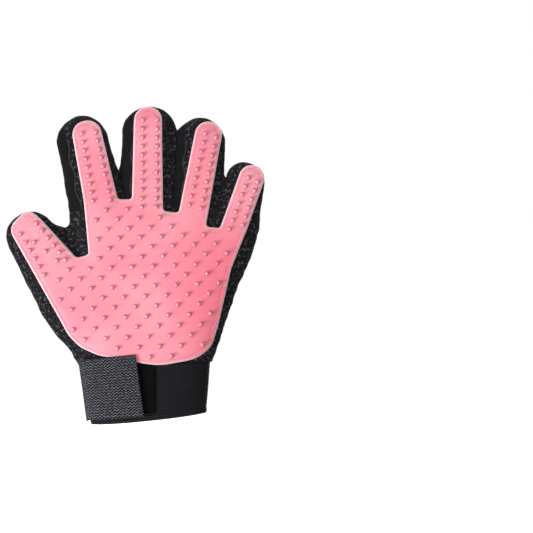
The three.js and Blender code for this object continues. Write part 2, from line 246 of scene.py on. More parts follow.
def lane_value(name, x, z, soft):
    """Positive outside a finger's own lane; when soft, the lane opens out below the crotch."""
    value = np.full(np.shape(x), -60.0)
    for left, right, line, crotch in GAPS:
        away = (x - line(z)) * 0.98
        ease = np.maximum(crotch + 4 - z, 0) * 1.2 if soft else 0
        if name == left:
            value = np.maximum(value, away - ease)
        if name == right:
            value = np.maximum(value, -away - ease)
    return value


def own_lane(name):
    """The glove's own value, cut off at the sides of one digit's lane."""
    def value(x, y, z):
        return np.maximum(body_value(x, y, z), lane_value(name, x, z, False))

    return value


def ripple(x, y, z):
    """Slow unevenness of the cloth."""
    wave = np.sin(x * 0.21 + 0.6 * np.sin(z * 0.13) + y * 0.11) * np.sin(z * 0.17 + 1.3 + y * 0.2)
    fine = np.sin(x * 0.47 + z * 0.31 + 2.0) * np.sin(z * 0.52 - x * 0.23 + y * 0.4)
    return 0.20 * wave + 0.10 * fine


def body_value(x, y, z, rough=True):
    """Negative inside the glove, positive outside it, and about a distance in mm close to it."""
    value = trunk_value(x, y, z)
    for name in FINGERS:
        one = sleeve_value(name, x, y, z)
        limit = lane_value(name, x, z, True)
        one = -blend_min(-one, -limit, 2.2)
        value = blend_min(value, one, 4.0)
    for name in WEBS:
        value = blend_min(value, sleeve_value(name, x, y, z), 5.0)
    value = blend_min(value, sleeve_value("thumb", x, y, z), 4.0)
    return value - ripple(x, y, z) if rough else value


def gradient(function, points, step=0.25):
    result = np.zeros_like(points)
    for axis in range(3):
        up = points.copy()
        down = points.copy()
        up[:, axis] += step
        down[:, axis] -= step
        result[:, axis] = (function(*up.T) - function(*down.T)) / (2 * step)
    return result


def surface_net(values, low, step):
    """A quad mesh through the zero level of values on a regular grid."""
    inside = values < 0
    shape = np.array(values.shape) - 1
    total = np.zeros((*shape, 3))
    count = np.zeros(shape)
    crossings = []
    for axis in range(3):
        first = [slice(None)] * 3
        second = [slice(None)] * 3
        first[axis] = slice(0, -1)
        second[axis] = slice(1, None)
        a = values[tuple(first)]
        b = values[tuple(second)]
        cut = inside[tuple(first)] != inside[tuple(second)]
        crossings.append((cut, inside[tuple(first)]))
        t = np.where(cut, a / np.where(cut, a - b, 1), 0)
        others = [i for i in range(3) if i != axis]
        for du in (0, 1):
            for dv in (0, 1):
                pick = [slice(None)] * 3
                pick[others[0]] = slice(du, du + shape[others[0]])
                pick[others[1]] = slice(dv, dv + shape[others[1]])
                c = cut[tuple(pick)]
                count += c
                total[..., axis] += t[tuple(pick)] * c
                total[..., others[0]] += du * c
                total[..., others[1]] += dv * c
    active = count > 0
    number = np.full(shape, -1)
    number[active] = np.arange(active.sum())
    cells = np.argwhere(active)
    points = (cells + total[active] / count[active][:, None]) * step + np.asarray(low)
    faces = []
    for axis in range(3):
        cut, starts_inside = crossings[axis]
        u, v = [i for i in range(3) if i != axis]
        inner = [slice(None)] * 3
        inner[u] = slice(1, -1)
        inner[v] = slice(1, -1)
        where = np.argwhere(cut[tuple(inner)])
        where[:, u] += 1
        where[:, v] += 1
        flip = starts_inside[tuple(where.T)]
        ring = []
        for du, dv in ((-1, -1), (0, -1), (0, 0), (-1, 0)):
            cell = where.copy()
            cell[:, u] += du
            cell[:, v] += dv
            ring.append(number[tuple(cell.T)])
        quad = np.stack(ring, axis=1)
        if axis == 1:
            flip = ~flip
        quad[~flip] = quad[~flip][:, ::-1]
        faces.append(quad)
    return points, np.concatenate(faces)


GRID = 1.25
LOW = np.array([-112.0, -24.0, 38.0])
HIGH = np.array([96.0, 24.0, 244.0])


def sample_grid():
    lines = [np.arange(LOW[i], HIGH[i] + GRID, GRID) for i in range(3)]
    return np.meshgrid(*lines, indexing="ij")


# The line across the root of each digit where its pieces start: a point, the way out, and
# how far out the bend at the root reaches.
START = {
    "index": ((-15.8, 168.0), (-0.2045, 0.979), 28),
    "middle": ((-15.8, 168.0), (0.1442, 0.9895), 23),
    "ring": ((18.5, 163.0), (0.3243, 0.946), 23),
    "little": ((50.6, 152.0), (0.34, 0.94), 19),
    "thumb": ((-65.5, 112.0), (-0.9555, 0.295), 26),
}
# The line in the web between thumb and index, and the line at the wrist.
THUMB_LINE = ((-54.6, 147.5), (0.889, 0.457))
WRIST_LINE = ((-1.85, 45.6), (-0.03, 1.0))


def past(line, x, z):
    """How far a point is past a line, which is given as a point on it and the way across it."""
    (px, pz), (ux, uz) = line[:2]
    return (x - px) * ux + (z - pz) * uz


def beyond(name, x, z):
    """How far a point is past the root of a digit."""
    return past(START[name], x, z)


def index_side(x, z):
    """Positive on the index side of the web between thumb and index."""
    return past(THUMB_LINE, x, z)


def in_digit(name, x, z):
    if name == "thumb":
        return (beyond("thumb", x, z) > 0) & (index_side(x, z) < 0) & (x < -45)
    inside = (beyond(name, x, z) > 0) & (lane_value(name, x, z, False) < 0)
    return inside & (index_side(x, z) > 0) if name == "index" else inside


def new_object(name, points, faces, material, *others):
    mesh = bpy.data.meshes.new(name)
    mesh.from_pydata((np.asarray(points) * MM).tolist(), [], [list(map(int, f)) for f in faces])
    mesh.validate()
    mesh.polygons.foreach_set("use_smooth", [True] * len(mesh.polygons))
    for each in (material, *others):
        mesh.materials.append(each)
    obj = bpy.data.objects.new(name, mesh)
    bpy.context.collection.objects.link(obj)
    return obj


def keep_used(points, faces):
    """The points that the faces use, the faces renumbered to match, and the numbers they had."""
    used = np.unique(faces)
    remap = np.full(len(points), -1)
    remap[used] = np.arange(len(used))
    return points[used], remap[faces], used


def tube_faces(rows, around, flip=False):
    """Quads of a tube whose points run round it, row by row."""
    faces = []
    for row in range(rows - 1):
        for k in range(around):
            a = row * around + k
            b = row * around + (k + 1) % around
            quad = (a, b, b + around, a + around)
            faces.append(quad[::-1] if flip else quad)
    return faces


def cut_object(points, faces, planes, keep):
    """Cut a mesh along upright planes, and keep the faces whose centre passes the test."""
    bm = bmesh.new()
    verts = [bm.verts.new(p) for p in points]
    for f in faces:
        bm.faces.new([verts[i] for i in f])
    for (px, pz), (ux, uz) in planes:
        everything = bm.verts[:] + bm.edges[:] + bm.faces[:]
        at, way = (px, 0, pz), (ux, 0, uz)
        bmesh.ops.bisect_plane(bm, geom=everything, dist=0.02, plane_co=at, plane_no=way)
    centres = np.array([f.calc_center_median() for f in bm.faces])
    good = keep(centres[:, 0], centres[:, 2])
    bad = [f for f, ok in zip(bm.faces[:], good) if not ok]
    bmesh.ops.delete(bm, geom=bad, context="FACES")
    bm.verts.index_update()
    points = np.array([v.co for v in bm.verts])
    faces = [[v.index for v in f.verts] for f in bm.faces]
    bm.free()
    return points, faces

# ---------------------------------------------------------------- materials


def make_material(name):
    material = bpy.data.materials.new(name)
    material.use_nodes = True
    tree = material.node_tree
    return material, tree, tree.nodes["Principled BSDF"]


def attribute(tree, name):
    """A number that the mesh holds for each of its points."""
    node = tree.nodes.new("ShaderNodeAttribute")
    node.attribute_name = name
    return node.outputs["Fac"]


def link(tree, a, b):
    tree.links.new(a, b)


def math_node(tree, operation, a, b=0.0, c=0.0):
    node = tree.nodes.new("ShaderNodeMath")
    node.operation = operation
    for slot, value in zip(node.inputs, (a, b, c)):
        if isinstance(value, (int, float)):
            slot.default_value = value
        else:
            link(tree, value, slot)
    return node.outputs[0]


def ramp(tree, value, low, high, out_low=0.0, out_high=1.0):
    node = tree.nodes.new("ShaderNodeMapRange")
    node.interpolation_type = "SMOOTHSTEP"
    link(tree, value, node.inputs["Value"])
    node.inputs["From Min"].default_value = low
    node.inputs["From Max"].default_value = high
    node.inputs["To Min"].default_value = out_low
    node.inputs["To Max"].default_value = out_high
    return node.outputs["Result"]


def mix_colour(tree, factor, a, b):
    node = tree.nodes.new("ShaderNodeMix")
    node.data_type = "RGBA"
    link(tree, factor, node.inputs["Factor"])
    for slot, value in ((node.inputs["A"], a), (node.inputs["B"], b)):
        if isinstance(value, tuple):
            slot.default_value = (*value, 1.0)
        else:
            link(tree, value, slot)
    return node.outputs["Result"]


def bump(tree, shader, height, distance, strength=1.0):
    node = tree.nodes.new("ShaderNodeBump")
    node.inputs["Distance"].default_value = distance
    node.inputs["Strength"].default_value = strength
    link(tree, height, node.inputs["Height"])
    link(tree, node.outputs["Normal"], shader.inputs["Normal"])


def noise(tree, place, scale, detail=2.0):
    node = tree.nodes.new("ShaderNodeTexNoise")
    node.inputs["Scale"].default_value = scale
    node.inputs["Detail"].default_value = detail
    link(tree, place, node.inputs["Vector"])
    return node.outputs["Fac"]


def wave(tree, value, rate):
    """A sine of value times rate."""
    return math_node(tree, "SINE", math_node(tree, "MULTIPLY", value, rate))


# The strap's herringbone: width of a column and height of a rib in mm, and the slope of the ribs.
WEAVE_COLUMN = 1.42
WEAVE_PITCH = 2.1
WEAVE_SLANT = 1.0
# Height of a rib of the elastic, in mm.
ELASTIC_RIB = 1.5


def weave_axes(tree):
    """The cloth's own two directions in mm, from the UV map that lies along it, and both as a vector."""
    uv = tree.nodes.new("ShaderNodeUVMap")
    uv.uv_map = "cloth"
    split = tree.nodes.new("ShaderNodeSeparateXYZ")
    link(tree, uv.outputs["UV"], split.inputs[0])
    u = math_node(tree, "MULTIPLY", split.outputs[0], 1000.0)
    v = math_node(tree, "MULTIPLY", split.outputs[1], 1000.0)
    return u, v, join_axes(tree, u, v)


def join_axes(tree, u, v):
    node = tree.nodes.new("ShaderNodeCombineXYZ")
    link(tree, u, node.inputs[0])
    link(tree, v, node.inputs[1])
    return node.outputs[0]


def set_cloth(shader, rough, sheen, tint=(0.6, 0.62, 0.7)):
    shader.inputs["Roughness"].default_value = rough
    shader.inputs["Specular IOR Level"].default_value = 0.13
    shader.inputs["Sheen Weight"].default_value = sheen
    shader.inputs["Sheen Roughness"].default_value = 0.5
    shader.inputs["Sheen Tint"].default_value = (*tint, 1)


def mesh_material():
    """Black spacer mesh: staggered small holes with a raised net round them."""
    material, tree, shader = make_material("air_mesh_cloth")
    set_cloth(shader, 0.7, 0.03)
    u, v, place = weave_axes(tree)
    diagonal = math_node(tree, "ADD", u, v)
    other = math_node(tree, "SUBTRACT", u, v)
    holes = tree.nodes.new("ShaderNodeTexVoronoi")
    holes.voronoi_dimensions = "2D"
    holes.inputs["Scale"].default_value = 0.37
    holes.inputs["Randomness"].default_value = 0.16
    link(tree, join_axes(tree, diagonal, other), holes.inputs["Vector"])
    net = ramp(tree, holes.outputs["Distance"], 0.2, 0.46)
    fuzz = noise(tree, place, 2.2, 3.0)
    # Painted glints: patches where the net's colour is much lighter, standing in for highlights on its
    # threads.
    glint = ramp(tree, noise(tree, place, 0.4, 3.0), 0.48, 0.70)
    base = mix_colour(tree, glint, (0.007, 0.007, 0.009), (0.10, 0.10, 0.112))
    colour = mix_colour(tree, net, (0.002, 0.002, 0.003), base)
    link(tree, colour, shader.inputs["Base Color"])
    bump(tree, shader, math_node(tree, "MULTIPLY_ADD", fuzz, 0.5, net), 0.0005)
    return material


def knit_material():
    """Black stretch knit: fine slanting ribs."""
    material, tree, shader = make_material("stretch_knit_cloth")
    set_cloth(shader, 0.75, 0.03)
    u, v, place = weave_axes(tree)
    slant = math_node(tree, "MULTIPLY_ADD", u, 0.82, math_node(tree, "MULTIPLY", v, 0.57))
    wobble = noise(tree, place, 0.25)
    phase = math_node(tree, "MULTIPLY_ADD", wobble, 3.0, math_node(tree, "MULTIPLY", slant, 4.8))
    rib = math_node(tree, "MULTIPLY_ADD", math_node(tree, "SINE", phase), 0.5, 0.5)
    patch = noise(tree, place, 0.05)
    base = mix_colour(tree, patch, (0.004, 0.004, 0.0055), (0.010, 0.010, 0.013))
    colour = mix_colour(tree, rib, (0.002, 0.002, 0.003), base)
    link(tree, colour, shader.inputs["Base Color"])
    bump(tree, shader, math_node(tree, "MULTIPLY_ADD", wave(tree, v, 7.5), 0.2, rib), 0.0003)
    return material


def silicone_material():
    """Satin pink silicone, milky: painted highlight along the rim and on the nub tips, painted shade at the
    nub roots and on the lower palm towards the little finger.
    """
    material, tree, shader = make_material("pink_silicone")
    shader.inputs["IOR"].default_value = 1.42
    shader.inputs["Subsurface Weight"].default_value = 0.45
    shader.inputs["Subsurface Scale"].default_value = 0.004
    shader.inputs["Subsurface Radius"].default_value = (1.0, 0.35, 0.3)
    rim = attribute(tree, "rim")
    root = attribute(tree, "root")
    u, v, place = weave_axes(tree)
    tone = ramp(tree, noise(tree, place, 0.018), 0.35, 0.65)
    # Painted shade: deeper pink on the lower palm towards the little finger, standing in for the palm
    # curving away from the light.
    painted_palm_shade = math_node(tree, "MULTIPLY", ramp(tree, u, 0.0, 75.0), ramp(tree, v, 165.0, 120.0))
    body = mix_colour(tree, tone, (0.96, 0.285, 0.360), (0.97, 0.355, 0.420))
    body = mix_colour(tree, painted_palm_shade, body, (0.93, 0.185, 0.265))
    # Painted shade: deeper pink at the nub roots, where each nub meets the pad.
    body = mix_colour(tree, root, body, (0.92, 0.175, 0.255))
    # Painted highlight: pale pink along the pad's edge and side wall, and on the nub tips.
    link(tree, mix_colour(tree, rim, body, (1.0, 0.62, 0.66)), shader.inputs["Base Color"])
    grain = noise(tree, place, 1.6, 4.0)
    bump(tree, shader, grain, 0.00012, 0.6)
    rough = math_node(tree, "MULTIPLY_ADD", grain, 0.18, 0.34)
    link(tree, rough, shader.inputs["Roughness"])
    return material


def thread_material(name, colour):
    """Sewing thread: painted shade, light and dark in turn as its strands twist."""
    material, tree, shader = make_material(name)
    shader.inputs["Roughness"].default_value = 0.6
    u, v, _ = weave_axes(tree)
    shade = ramp(tree, wave(tree, math_node(tree, "ADD", u, v), 9.0), -1.0, 1.0)
    dark = tuple(c * 0.6 for c in colour)
    link(tree, mix_colour(tree, shade, dark, colour), shader.inputs["Base Color"])
    bump(tree, shader, shade, 0.0001)
    return material


def webbing_material():
    """Blue-grey herringbone webbing: the ribs are in the mesh; here are the yarns, and the ribs painted
    lighter as highlight with painted shade in the gaps.
    """
    material, tree, shader = make_material("webbing_cloth")
    set_cloth(shader, 0.55, 0.05, (0.6, 0.65, 0.8))
    u, v, place = weave_axes(tree)
    column = math_node(tree, "PINGPONG", u, WEAVE_COLUMN)
    slant = math_node(tree, "MULTIPLY_ADD", column, WEAVE_SLANT, v)
    rib = ramp(tree, wave(tree, slant, 2 * math.pi / WEAVE_PITCH), -0.1, 0.95)
    strand = wave(tree, u, 2 * math.pi / 0.7)
    # Painted highlight on the ribs, brighter in some patches than others.
    patchy_rib_highlight = ramp(tree, noise(tree, place, 0.7, 3.0), 0.3, 0.7)
    bright = mix_colour(tree, patchy_rib_highlight, (0.05, 0.052, 0.066), (0.215, 0.22, 0.26))
    # Painted shade in the gaps between ribs, over the webbing's blue-grey.
    colour = mix_colour(tree, rib, (0.003, 0.003, 0.0045), bright)
    link(tree, colour, shader.inputs["Base Color"])
    bump(tree, shader, math_node(tree, "MULTIPLY_ADD", strand, 0.25, rib), 0.0003)
    return material


def elastic_material():
    """Black woven elastic: the ribs are in the mesh; the fine yarns are here, with painted shade in the
    grooves between the ribs.
    """
    material, tree, shader = make_material("woven_elastic")
    set_cloth(shader, 0.7, 0.02)
    u, v, _ = weave_axes(tree)
    rib = ramp(tree, wave(tree, v, 2 * math.pi / ELASTIC_RIB), -0.8, 0.8)
    yarn = ramp(tree, wave(tree, u, 2 * math.pi / 0.8), -1.0, 1.0)
    # Painted shade: darker in the grooves between the ribs, lighter on their crests.
    colour = mix_colour(tree, rib, (0.003, 0.003, 0.004), (0.017, 0.017, 0.021))
    colour = mix_colour(tree, math_node(tree, "MULTIPLY", yarn, 0.35), colour, (0.006, 0.006, 0.008))
    link(tree, colour, shader.inputs["Base Color"])
    bump(tree, shader, math_node(tree, "MULTIPLY_ADD", yarn, 0.4, rib), 0.00018)
    return material


def pile_material():
    """Black brushed loop pile: its own near-black, darkened further as painted shadow of the strap."""
    material, tree, shader = make_material("loop_pile_cloth")
    set_cloth(shader, 0.95, 0.02, (0.5, 0.5, 0.55))
    shader.inputs["Specular IOR Level"].default_value = 0.08
    _, _, place = weave_axes(tree)
    curls = tree.nodes.new("ShaderNodeTexVoronoi")
    curls.inputs["Scale"].default_value = 1.3
    link(tree, place, curls.inputs["Vector"])
    fibres = noise(tree, place, 2.4, 4.0)
    height = math_node(tree, "MULTIPLY_ADD", curls.outputs["Distance"], -0.6, fibres)
    # Painted shadow: the pile's near-black colour is kept darker still for the strap's shadow.
    colour = mix_colour(tree, ramp(tree, height, -0.1, 0.5), (0.0012, 0.0012, 0.0018), (0.006, 0.006, 0.007))
    link(tree, colour, shader.inputs["Base Color"])
    bump(tree, shader, height, 0.0006)
    return material


def hook_material():
    """Black moulded hooks: a hard, slightly shiny nylon."""
    material, tree, shader = make_material("moulded_hooks")
    shader.inputs["Roughness"].default_value = 0.4
    _, _, place = weave_axes(tree)
    cloud = noise(tree, place, 1.5)
    colour = mix_colour(tree, cloud, (0.006, 0.006, 0.007), (0.018, 0.018, 0.02))
    link(tree, colour, shader.inputs["Base Color"])
    bump(tree, shader, cloud, 0.0002)
    return material


AIR_MESH = mesh_material()
KNIT = knit_material()
SILICONE = silicone_material()
BLACK_THREAD = thread_material("black_thread", (0.022, 0.022, 0.026))
PINK_THREAD = thread_material("pink_thread", (0.97, 0.50, 0.54))
WEBBING = webbing_material()
ELASTIC = elastic_material()
PILE = pile_material()
HOOKS = hook_material()


def set_uv(obj, coordinates):
    """coordinates is one (u, v) in metres for every vertex."""
    set_corner_uv(obj, np.asarray(coordinates)[corner_points(obj.data)])


def set_front_uv(obj, points):
    """Lay the cloth's two directions along x and z."""
    set_uv(obj, np.array(points)[:, [0, 2]] * MM)


def corner_points(mesh):
    """The number of the point at each corner of each face."""
    index = np.zeros(len(mesh.loops), dtype=int)
    mesh.loops.foreach_get("vertex_index", index)
    return index


def set_corner_uv(obj, uv):
    layer = obj.data.uv_layers.new(name="cloth")
    layer.data.foreach_set("uv", uv.astype(np.float32).ravel())


def set_attribute(obj, name, values):
    layer = obj.data.attributes.new(name, "FLOAT", "POINT")
    layer.data.foreach_set("value", np.asarray(values, dtype=np.float32))


# ---------------------------------------------------------------- the fabric glove

KNIT_FINGERS = ["index", "middle", "ring"]


def knit_edge(along):
    """Where knit meets mesh on a finger's front, as a share of its half width."""
    return -0.60 + 0.05 * np.sin(along * 0.28)


def sleeve_uv(obj, name, points):
    mesh = obj.data
    index = corner_points(mesh)
    corners = np.zeros(len(mesh.polygons), dtype=int)
    mesh.polygons.foreach_get("loop_total", corners)
    facing = np.zeros(len(mesh.polygons) * 3)
    mesh.polygons.foreach_get("normal", facing)
    side = np.repeat(np.abs(facing[1::3]) < 0.5, corners)
    x, y, z = points.T
    v, u = (z, x) if name == "palm" else section(name, x, z)[:2]
    u = np.where(side, y[index] + 300, u[index])
    set_corner_uv(obj, np.stack([u, v[index]], axis=1) * MM)


def knit_faces(name, centres):
    """True where a face is smooth knit and not mesh."""
    x, y, z = centres.T
    if name == "palm":
        return (np.abs(y) < 4.0) & (z < 150)
    along, across, width, _ = section(name, x, z)
    return (across / width < knit_edge(along)) & (y < 4) & (name in KNIT_FINGERS)


def true_surface(points, function, rounds=3):
    for _ in range(rounds):
        slope = gradient(function, points)
        level = function(*points.T)
        square = (slope ** 2).sum(axis=1)
        move = np.clip(level / np.maximum(square, 0.05), -1.0, 1.0)
        points = points - move[:, None] * slope
    return points


def finish_sleeve(name, points, faces, function):
    obj = new_object(f"{name}_sleeve", points, faces, AIR_MESH, KNIT)
    slope = gradient(function, points)
    normals = slope / np.maximum(np.linalg.norm(slope, axis=1), 1e-6)[:, None]
    centres = np.zeros(len(obj.data.polygons) * 3)
    obj.data.polygons.foreach_get("center", centres)
    knit = knit_faces(name, centres.reshape(-1, 3) / MM)
    obj.data.polygons.foreach_set("material_index", knit.astype(np.int32))
    sleeve_uv(obj, name, points)
    obj.data.normals_split_custom_set_from_vertices(normals.tolist())
    obj.data.update()
    return obj


def planes_for(names):
    return [START[name][:2] for name in names]


def build_sleeves():
    x, y, z = sample_grid()
    field = body_value(x, y, z)
    points, faces = surface_net(field, LOW, GRID)
    points = true_surface(points, body_value)

    def palm_keep(cx, cz):
        good = past(WRIST_LINE, cx, cz) > 0
        for name in DIGITS:
            good &= ~in_digit(name, cx, cz)
        return good

    def thumb_keep(cx, cz):
        return in_digit("thumb", cx, cz)

    planes = planes_for(DIGITS) + [WRIST_LINE, THUMB_LINE]
    pieces = {}
    for name, keep in (("palm", palm_keep), ("thumb", thumb_keep)):
        pieces[name] = finish_sleeve(name, *cut_object(points, faces, planes, keep), body_value)
    for name in FINGERS:
        own = np.maximum(field, lane_value(name, x, z, False))
        pieces[name] = build_finger(name, *surface_net(own, LOW, GRID))
    return pieces


def build_finger(name, points, faces):
    value = own_lane(name)
    close = beyond(name, points[:, 0], points[:, 2]) > -8
    points, faces, _ = keep_used(points, faces[close[faces].all(axis=1)])
    points = true_surface(points, value, 2)

    def keep(cx, cz):
        good = (beyond(name, cx, cz) > 0) & (lane_value(name, cx, cz, False) < 1.0)
        return good & (index_side(cx, cz) > 0) if name == "index" else good

    points, faces = cut_object(points, faces, planes_for([name]) + [THUMB_LINE], keep)
    return finish_sleeve(name, points, faces, value)


# ---------------------------------------------------------------- the silicone pad

PAD_THICKNESS = 2.0
PAD_GRID = 1.7
# Distances from the pad's edge of its extra rows of points.
EDGE_ROWS = (0.35, 0.8, 1.35, 2.0, 2.5, 2.95, 3.4, 4.0)
# Where the root line of each digit crosses the pad, from x to x.
ROOT_SPANS = {
    "index": (-60, -15.8), "middle": (-15.8, 18.5), "ring": (18.5, 50.6), "little": (50.6, 95),
    "thumb": (-80, -50),
}
# Each row of nubs on the digits: its first nub, its direction, its pitch and its count.
STRIP_NUBS = [
    ((-48.6, 217.6), (8.3, -49.6), 6.35, 9),
    ((-38.2, 218.8), (11.0, -50.6), 6.45, 9),
    ((-2.9, 227.8), (-0.6, -64), 6.5, 11),
    ((7.9, 227.8), (-0.8, -64), 6.5, 11),
    ((43.9, 217.6), (-13.6, -60), 6.8, 9),
    ((51.6, 214.8), (-12.4, -60), 6.75, 9),
    ((76.0, 184.8), (-14.2, -38.4), 6.8, 7),
    ((82.8, 181.6), (-13.4, -38.8), 6.8, 6),
    ((-94.2, 142.6), (17.8, -30.7), 7.05, 6),
    ((-82.6, 150.6), (21.9, -27.0), 6.95, 6),
]
# Radius and height of a nub's rings.
NUB_PROFILE = [
    (2.15, -0.25), (1.85, 0.08), (1.55, 0.5), (1.3, 1.2), (1.05, 2.1), (0.8, 2.85), (0.5, 3.3),
    (0.18, 3.46),
]


def corner_path(corners):
    """A closed path through corners, each rounded by its own radius."""
    path = []
    for i, (px, pz, radius) in enumerate(corners):
        here = Vector((px, pz))
        before = Vector(corners[i - 1][:2]) - here
        after = Vector(corners[(i + 1) % len(corners)][:2]) - here
        a, b = before.normalized(), after.normalized()
        half = a.angle(b) / 2
        reach = min(radius / math.tan(half), before.length * 0.499, after.length * 0.499)
        radius = reach * math.tan(half)
        centre = here + (a + b).normalized() * (radius / math.sin(half))
        start = here + a * reach - centre
        turn = math.pi - 2 * half
        side = 1 if a.x * b.y - a.y * b.x < 0 else -1
        steps = max(2, int(radius * turn / 0.9))
        for k in range(steps + 1):
            angle = side * turn * k / steps
            c, s = math.cos(angle), math.sin(angle)
            path.append((centre.x + start.x * c - start.y * s, centre.y + start.x * s + start.y * c))
    return path


# Corners of the pad's outline: x, z and the radius that rounds each.
PAD_CORNERS = [
    (10.5, 44.4, 60), (38, 49.6, 30), (48.5, 58.5, 16), (53.3, 74, 20), (58.5, 96.4, 40), (63, 116, 40),
    (69, 131.5, 30), (75.2, 146.5, 20),
    (90.6, 190.6, 9.5), (72.7, 197.1, 9.5), (54.8, 147.0, 2.4), (44.3, 148.4, 2.4),
    (57.7, 224.9, 9.9), (38.2, 228.7, 9.9), (23.9, 158.6, 2.4), (12.3, 160.1, 2.4),
    (11.3, 238.1, 10.3), (-9.3, 238.1, 10.3), (-11.0, 168.8, 2.4), (-21.6, 168.8, 2.4),
    (-36.5, 229.6, 10.4), (-57.1, 225.3, 10.4), (-47.0, 168, 60), (-43.2, 127.4, 2.4),
    (-52.5, 125.0, 3.2),
    (-77.6, 152.2, 10), (-89.0, 162.6, 9), (-103.6, 147.2, 9),
    (-64.5, 78.4, 26), (-58.4, 67.0, 18), (-50.0, 58.4, 20), (-36, 52.0, 30), (-6, 46.6, 60),
]


def resample(path, gap):
    """Closed path with even spacing."""
    points = np.array(path)
    closed = np.vstack([points, points[:1]])
    where = run_length(closed)
    count = int(where[-1] / gap)
    at = np.arange(count) * where[-1] / count
    return np.stack([np.interp(at, where, closed[:, k]) for k in (0, 1)], axis=1)


def run_length(points):
    """Distance along a path at each of its points."""
    return np.concatenate([[0], np.cumsum(np.linalg.norm(np.diff(points, axis=0), axis=1))])


def inward_from(outline):
    """The direction into a closed outline at each of its points."""
    step = np.roll(outline, -1, axis=0) - np.roll(outline, 1, axis=0)
    inward = np.stack([-step[:, 1], step[:, 0]], axis=1)
    return inward / np.linalg.norm(inward, axis=1)[:, None]


def edge_distance(points, outline):
    """Signed distance to a closed outline, positive inside."""
    best = np.full(len(points), 1e9)
    inside = np.zeros(len(points), bool)
    for p, q in zip(outline, np.roll(outline, -1, axis=0)):
        d = q - p
        t = np.clip(((points - p) @ d) / max(d @ d, 1e-9), 0, 1)
        best = np.minimum(best, np.linalg.norm(points - p - t[:, None] * d, axis=1))
        cross = ((p[1] > points[:, 1]) != (q[1] > points[:, 1]))
        run = (points[:, 1] - p[1]) / (d[1] if abs(d[1]) > 1e-9 else 1e-9)
        inside ^= cross & (points[:, 0] < p[0] + run * d[0])
    return np.where(inside, best, -best)


def front_depth(x, z):
    """How far in front of the middle plane the pad lies, kept nearly flat towards the edges."""
    depth = cloth_depth(x, z, False)
    floor = np.where(z > 150, 9.0, 7.5)
    return 0.5 * (depth + floor + np.sqrt((depth - floor) ** 2 + 4.0))


def cloth_depth(x, z, rough=True):
    """How far in front of the middle plane the cloth is at x, z, found by halving."""
    low = np.zeros(len(x))
    high = np.full(len(x), 24.0)
    for _ in range(14):
        mid = (low + high) / 2
        outside = body_value(x, -mid, z, rough) > 0
        low = np.where(outside, low, mid)
        high = np.where(outside, mid, high)
    return (low + high) / 2


def pad_profile(edge):
    """Thickness of the pad at a distance from its edge: a rounded edge with a low bead inside it."""
    t = np.clip(edge / 1.3, 0, 1)
    rise = np.sqrt(1 - (1 - t) ** 2)
    groove = 0.28 * np.exp(-((edge - 2.9) / 0.55) ** 2)
    bead = 0.22 * np.exp(-((edge - 1.3) / 0.6) ** 2)
    return PAD_THICKNESS * (0.25 + 0.75 * rise) + bead - groove


def build_pad():
    """The pad seen from the front: its outline, and triangles with rows of points along its edge."""
    outline = resample(corner_path(PAD_CORNERS), 1.1)
    inward = inward_from(outline)
    rings = []
    for distance in EDGE_ROWS:
        row = outline + inward * distance
        rings.append(row[edge_distance(row, outline) > distance * 0.93])
    gx, gz = np.meshgrid(np.arange(-105, 92, PAD_GRID), np.arange(44, 240, PAD_GRID * 0.866))
    gx[1::2] += PAD_GRID / 2
    inner = np.stack([gx.ravel(), gz.ravel()], axis=1)
    inner = inner[edge_distance(inner, outline) > 4.9]
    flat = np.vstack([outline, *rings, inner])
    edges = [(i, (i + 1) % len(outline)) for i in range(len(outline))]
    for name, span in ROOT_SPANS.items():
        (px, pz), (ux, uz), _ = START[name]
        a, b = (np.array((x, pz - (x - px) * ux / uz)) for x in span)
        steps = int(np.linalg.norm(b - a) / 1.2)
        first = len(flat)
        flat = np.vstack([flat, a + (b - a) * np.linspace(0, 1, steps + 1)[:, None]])
        edges += [(first + i, first + i + 1) for i in range(steps)]
    result = geometry.delaunay_2d_cdt([Vector(p) for p in flat], edges, [], 0, 1e-4)
    points = np.array([(p.x, p.y) for p in result[0]])
    faces = np.array(result[2])
    faces = faces[edge_distance(points[faces].mean(axis=1), outline) > 0]
    points, faces, _ = keep_used(points, faces)
    return outline, points, faces


def pad_height(points, edge):
    return -(front_depth(points[:, 0], points[:, 1]) + 0.15 + pad_profile(edge))


def nub_rows(start, direction, pitch, count):
    length = math.hypot(*direction)
    dx, dz = direction[0] / length * pitch, direction[1] / length * pitch
    return [(start[0] + dx * i, start[1] + dz * i) for i in range(count)]


def nub_places():
    return [place for row in STRIP_NUBS for place in nub_rows(*row)]


def palm_nub_places(outline, taken):
    places = []
    for i in range(-14, 15):
        for j in range(-14, 15):
            bend = 0.022 * (i + j) ** 2 if i + j > 0 else 0
            x = -20.6 - 7.3 * i + 8.55 * j
            z = 139.4 - 7.5 * i - 6.8 * j - bend
            if z <= 161.5 - 0.40 * max(0, x):
                places.append((x, z))
    far = edge_distance(np.array(places), outline) > 5.4
    near = [min(math.hypot(x - a, z - b) for a, b in taken) for x, z in places]
    return [p for p, ok, gap in zip(places, far, near) if ok and gap > 5.0]


def nub_mesh(x, z, y):
    """A round-ended cone that flares out at its root, as points, faces and nearness to the root."""
    sides = 14
    points = []
    root = []
    for radius, height in NUB_PROFILE:
        for k in range(sides):
            angle = 2 * math.pi * k / sides
            points.append((x + radius * math.cos(angle), y - height, z + radius * math.sin(angle)))
            root.append(max(0.0, 1.0 - abs(height - 0.05) / 1.3))
    points.append((x, y - 3.5, z))
    root.append(0.0)
    faces = [(a, d, c, b) for a, b, c, d in tube_faces(len(NUB_PROFILE), sides)]
    last = (len(NUB_PROFILE) - 1) * sides
    faces += [(last + k, len(points) - 1, last + (k + 1) % sides) for k in range(sides)]
    return points, faces, root


def digits_at(points):
    """Which part of the hand each point x, z is on."""
    result = np.full(len(points), "palm", dtype=object)
    for name in DIGITS:
        result[in_digit(name, points[:, 0], points[:, 1])] = name
    return result


